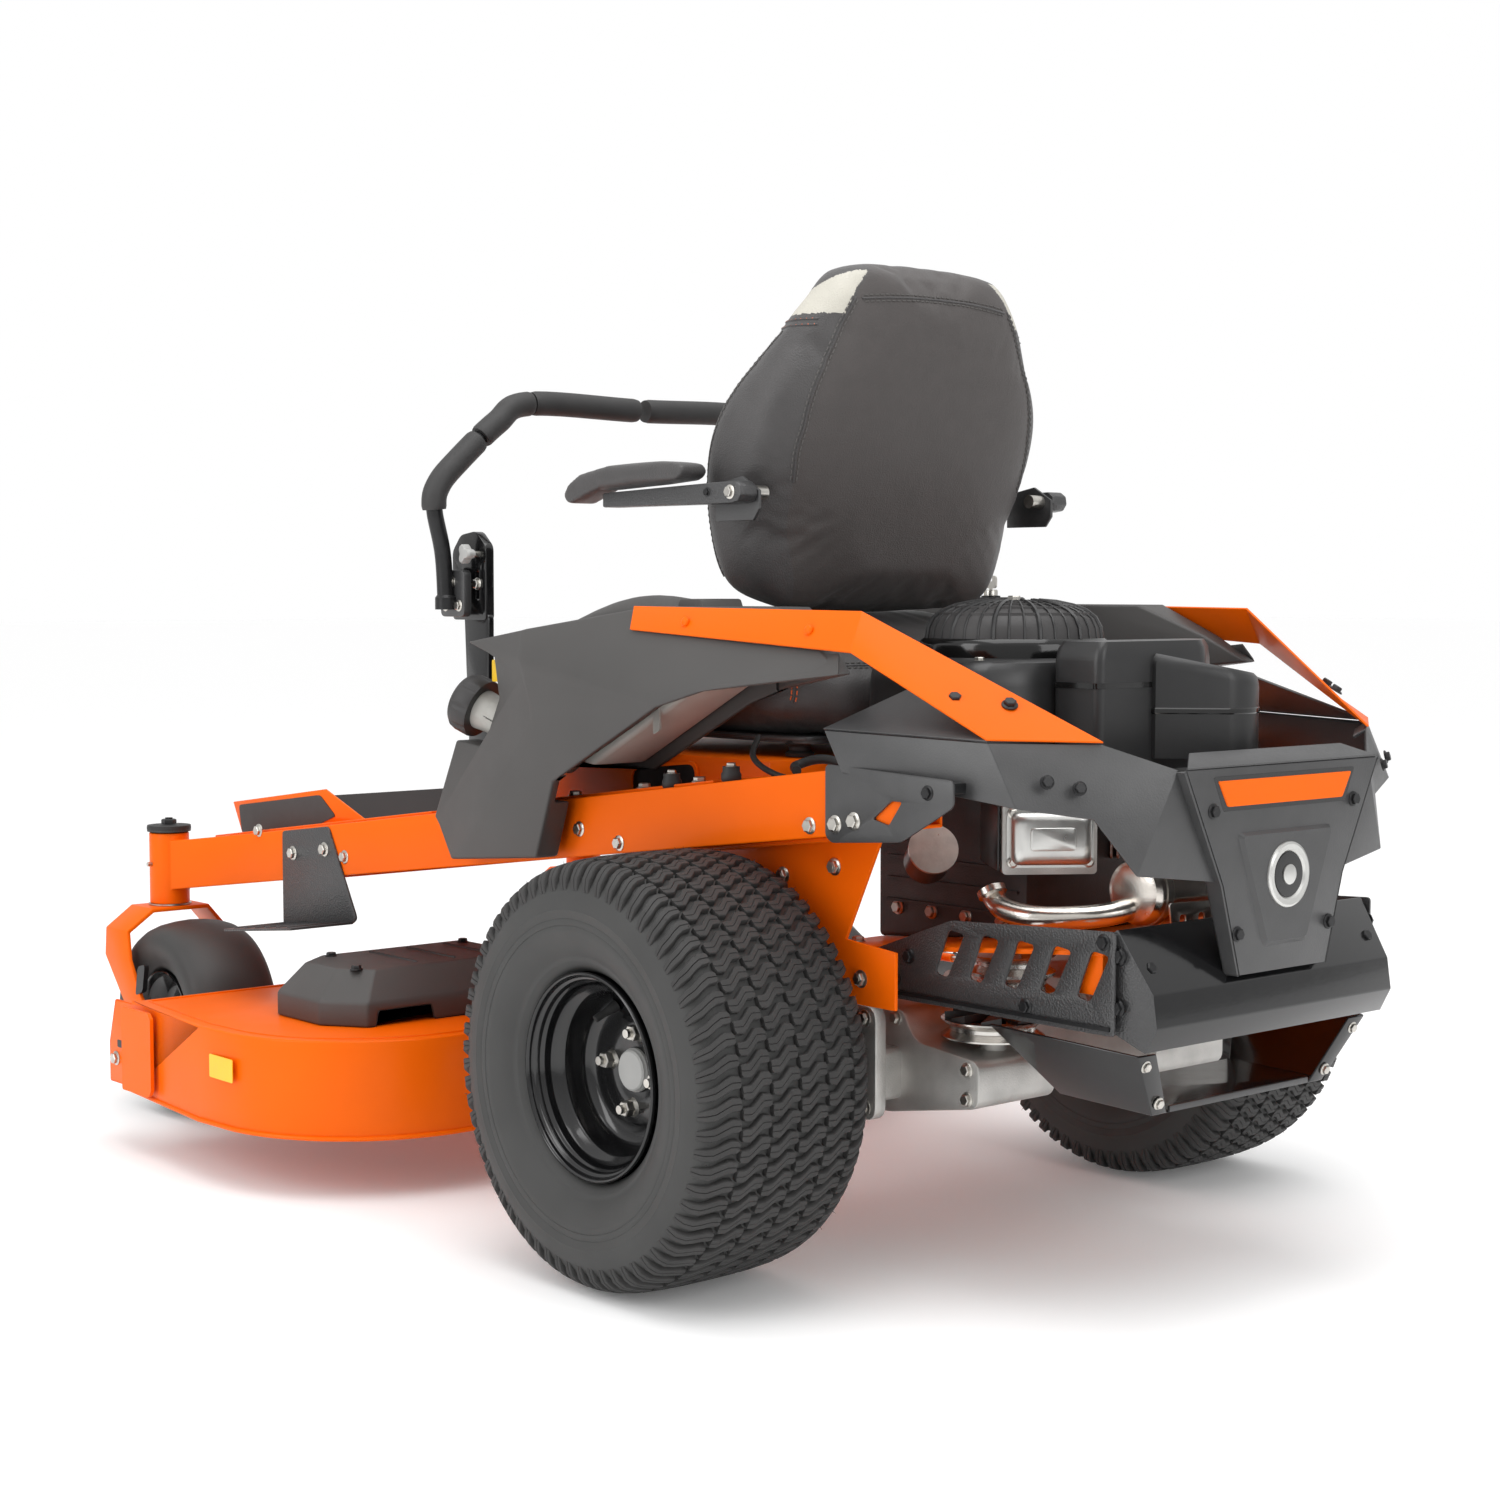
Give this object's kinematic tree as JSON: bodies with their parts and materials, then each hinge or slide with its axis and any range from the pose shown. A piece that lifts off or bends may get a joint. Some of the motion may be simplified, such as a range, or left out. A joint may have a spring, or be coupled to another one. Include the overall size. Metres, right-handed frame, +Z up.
{
  "type": "zero turn mower",
  "caption": "Zero turn riding mower with a side-discharge deck, hinged lap bar levers, a tilting high-back seat, swivelling front casters and a guarded rear engine.",
  "frame": {"origin": "centre of the machine's box on the ground", "axes": "+X to the operator's left, +Y to the rear of the machine, +Z up"},
  "size_m": [1.625, 2.1236, 1.355],
  "materials": {
    "orange": "gloss powder coat",
    "black": "satin powder coat",
    "plastic": "fine grained moulding",
    "engine_plastic": "semi-gloss moulding",
    "tank": "natural moulding",
    "engine_metal": "die cast",
    "aluminium": "die cast",
    "steel": "zinc plated and ground",
    "tyre": "turf tread",
    "caster_rubber": "smooth tread",
    "rubber": "moulded",
    "wheel_plastic": "moulded",
    "vinyl": "grained vinyl",
    "grip": "foam grip",
    "yellow": "moulded"
  },
  "bodies": {
    "frame": {"rail_left": "orange", "rail_right": "orange", "front_beam": "orange", "engine_cradle": "orange", "floor_pan": "orange", "step_left": "black", "step_right": "black", "pod_left": "plastic", "pod_right": "plastic", "fuel_tank": "tank", "fender_left": "orange", "fender_right": "orange", "seat_base": "orange", "rear_guard": "black", "guard_wing_left": "black", "guard_wing_right": "black", "bumper": "black", "grille_left": "black", "grille_right": "black", "lower_guard": "black", "engine_block": "engine_metal", "engine_shroud": "engine_plastic", "air_cleaner": "engine_plastic", "exhaust": "steel", "transaxle_left": "aluminium", "transaxle_right": "aluminium"},
    "wheel_left": {"rear_tyre_left": "tyre", "rear_rim_left": "black"},
    "wheel_right": {"rear_tyre_right": "tyre", "rear_rim_right": "black"},
    "caster_left": {"caster_fork_left": "orange"},
    "caster_right": {"caster_fork_right": "orange"},
    "caster_wheel_left": {"caster_tyre_left": "caster_rubber", "caster_rim_left": "black"},
    "caster_wheel_right": {"caster_tyre_right": "caster_rubber", "caster_rim_right": "black"},
    "deck": {"deck_shell": "orange", "deck_cover_left": "plastic", "deck_cover_right": "plastic"},
    "blade_left": {"spindle_left": "steel"},
    "blade_centre": {"spindle_centre": "steel"},
    "blade_right": {"spindle_right": "steel"},
    "chute": {"discharge_chute": "rubber"},
    "anti_scalp_left": {"anti_scalp_left": "wheel_plastic"},
    "anti_scalp_right": {"anti_scalp_right": "wheel_plastic"},
    "crankshaft": {"crankshaft": "steel"},
    "seat_pan": {"seat_pan": "black"},
    "seat": {"seat_cushion": "vinyl", "seat_back": "vinyl"},
    "armrest_left": {"armrest_left": "plastic"},
    "armrest_right": {"armrest_right": "plastic"},
    "lever_left": {"lever_left": "black"},
    "lever_right": {"lever_right": "black"},
    "lap_bar_left": {"lap_bar_left": "grip"},
    "lap_bar_right": {"lap_bar_right": "grip"},
    "fuel_cap": {"fuel_cap": "plastic"},
    "throttle_lever": {"throttle_lever": "plastic"},
    "pto_knob": {"pto_knob": "yellow"},
    "ignition_key": {"ignition_key": "steel"},
    "lift_pedal": {"lift_pedal": "black"}
  },
  "joints": [
    {"name": "wheel_left_spin", "type": "hinge", "parent": "frame", "child": "wheel_left", "pos_m": [0.6145, 0.43825, 0.2794], "axis": [1, 0, 0], "continuous": true},
    {"name": "caster_left_swivel", "type": "hinge", "parent": "frame", "child": "caster_left", "pos_m": [0.5665, -0.99175, 0.348], "axis": [0, 0, 1], "continuous": true},
    {"name": "caster_wheel_left_spin", "type": "hinge", "parent": "caster_left", "child": "caster_wheel_left", "pos_m": [0.5665, -0.89675, 0.165], "axis": [1, 0, 0], "continuous": true},
    {"name": "wheel_right_spin", "type": "hinge", "parent": "frame", "child": "wheel_right", "pos_m": [-0.3815, 0.43825, 0.2794], "axis": [1, 0, 0], "continuous": true},
    {"name": "caster_right_swivel", "type": "hinge", "parent": "frame", "child": "caster_right", "pos_m": [-0.3335, -0.99175, 0.348], "axis": [0, 0, 1], "continuous": true},
    {"name": "caster_wheel_right_spin", "type": "hinge", "parent": "caster_right", "child": "caster_wheel_right", "pos_m": [-0.3335, -0.89675, 0.165], "axis": [1, 0, 0], "continuous": true},
    {"name": "deck_lift", "type": "slide", "parent": "frame", "child": "deck", "axis": [0, 0, 1], "range_m": [0, 0.045]},
    {"name": "pedal_tilt", "type": "hinge", "parent": "frame", "child": "lift_pedal", "pos_m": [-0.0835, -0.71175, 0.52], "axis": [1, 0, 0], "range_deg": [0, 31]},
    {"name": "blade_centre_spin", "type": "hinge", "parent": "deck", "child": "blade_centre", "pos_m": [0.1165, -0.54675, 0.2], "axis": [0, 0, 1], "continuous": true},
    {"name": "blade_left_spin", "type": "hinge", "parent": "deck", "child": "blade_left", "pos_m": [0.5465, -0.37175, 0.2], "axis": [0, 0, 1], "continuous": true},
    {"name": "blade_right_spin", "type": "hinge", "parent": "deck", "child": "blade_right", "pos_m": [-0.3135, -0.37175, 0.2], "axis": [0, 0, 1], "continuous": true},
    {"name": "chute_swing", "type": "hinge", "parent": "deck", "child": "chute", "pos_m": [-0.5875, -0.40175, 0.229], "axis": [0, 1, 0], "range_deg": [0, 75]},
    {"name": "anti_scalp_left_spin", "type": "hinge", "parent": "deck", "child": "anti_scalp_left", "pos_m": [0.7715, -0.74475, 0.14], "axis": [1, 0, 0], "continuous": true},
    {"name": "anti_scalp_right_spin", "type": "hinge", "parent": "deck", "child": "anti_scalp_right", "pos_m": [-0.5385, -0.74475, 0.14], "axis": [1, 0, 0], "continuous": true},
    {"name": "crankshaft_spin", "type": "hinge", "parent": "frame", "child": "crankshaft", "pos_m": [0.1165, 0.59425, 0.6], "axis": [0, 0, 1], "continuous": true},
    {"name": "seat_tilt", "type": "hinge", "parent": "frame", "child": "seat_pan", "pos_m": [0.1165, -0.09175, 0.68], "axis": [1, 0, 0], "range_deg": [0, 30]},
    {"name": "seat_slide", "type": "slide", "parent": "seat_pan", "child": "seat", "axis": [0, 1, 0], "range_m": [-0.08, 0]},
    {"name": "armrest_left_flip", "type": "hinge", "parent": "seat", "child": "armrest_left", "pos_m": [0.4245, 0.37625, 1.0275], "axis": [-1, 0, 0], "range_deg": [0, 80]},
    {"name": "lever_left_drive", "type": "hinge", "parent": "frame", "child": "lever_left", "pos_m": [0.447, -0.20175, 0.52], "axis": [1, 0, 0], "range_deg": [-12, 12]},
    {"name": "lap_bar_left_swing", "type": "hinge", "parent": "lever_left", "child": "lap_bar_left", "pos_m": [0.4695, -0.22975, 0.862], "axis": [0, 1, 0], "range_deg": [0, 40]},
    {"name": "armrest_right_flip", "type": "hinge", "parent": "seat", "child": "armrest_right", "pos_m": [-0.1915, 0.37625, 1.0275], "axis": [-1, 0, 0], "range_deg": [0, 80]},
    {"name": "lever_right_drive", "type": "hinge", "parent": "frame", "child": "lever_right", "pos_m": [-0.214, -0.20175, 0.52], "axis": [1, 0, 0], "range_deg": [-12, 12]},
    {"name": "lap_bar_right_swing", "type": "hinge", "parent": "lever_right", "child": "lap_bar_right", "pos_m": [-0.2365, -0.22975, 0.862], "axis": [0, -1, 0], "range_deg": [0, 40]},
    {"name": "fuel_cap_twist", "type": "hinge", "parent": "frame", "child": "fuel_cap", "pos_m": [0.5285, -0.10975, 0.728], "axis": [0.3606, -0.8515, 0.3807], "range_deg": [0, 90]},
    {"name": "throttle_swing", "type": "hinge", "parent": "frame", "child": "throttle_lever", "pos_m": [-0.2355, 0.08825, 0.884], "axis": [1, 0, 0], "range_deg": [-25, 25]},
    {"name": "pto_pull", "type": "slide", "parent": "frame", "child": "pto_knob", "axis": [0, 0, 1], "range_m": [0, 0.012]},
    {"name": "key_turn", "type": "hinge", "parent": "frame", "child": "ignition_key", "pos_m": [-0.2355, 0.21325, 0.884], "axis": [0, 0, 1], "range_deg": [0, 90]}
  ],
  "couplings": [
    {"joint": "pedal_tilt", "follows": "deck_lift", "rad_per_m": 11.636},
    {"joint": "blade_left_spin", "follows": "blade_centre_spin", "ratio": 1},
    {"joint": "blade_right_spin", "follows": "blade_centre_spin", "ratio": 1}
  ]
}
